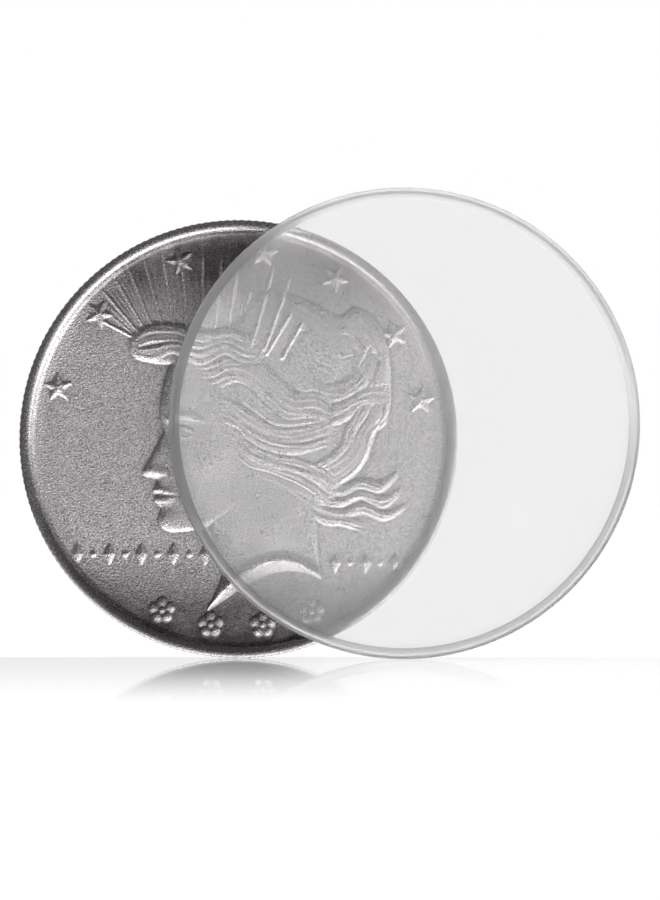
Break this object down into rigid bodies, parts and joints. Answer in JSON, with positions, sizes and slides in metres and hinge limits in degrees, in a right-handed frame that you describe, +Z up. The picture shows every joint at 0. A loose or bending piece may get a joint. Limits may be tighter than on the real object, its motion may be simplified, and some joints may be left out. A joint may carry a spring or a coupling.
{
  "type": "coin capsule",
  "caption": "Round clear snap-together capsule for a large silver coin, standing closed on its rim, with the coin behind it and to one side.",
  "frame": {"origin": "middle of the footprint of capsule and coin, on the surface that both stand on", "axes": "+Z up; +X from the coin towards the capsule, along their faces; -Y along the capsule's axis, out of its lid"},
  "size_m": [0.0538, 0.0082, 0.0408],
  "materials": {
    "clear_base": "clear polished acrylic",
    "clear_lid": "clear polished acrylic",
    "coin_silver": "satin struck silver, lightly toned"
  },
  "bodies": {
    "base": {"rear_shell": "clear_base"},
    "lid": {"front_shell": "clear_lid"},
    "coin": {"coin": "coin_silver"}
  },
  "joints": [
    {"name": "lid_pull", "type": "slide", "parent": "base", "child": "lid", "axis": [0, -1, 0], "range_m": [0, 0.045]},
    {"name": "coin_draw", "type": "slide", "parent": "base", "child": "coin", "axis": [-1, 0, 0], "range_m": [-0.0144, 0.027]}
  ]
}
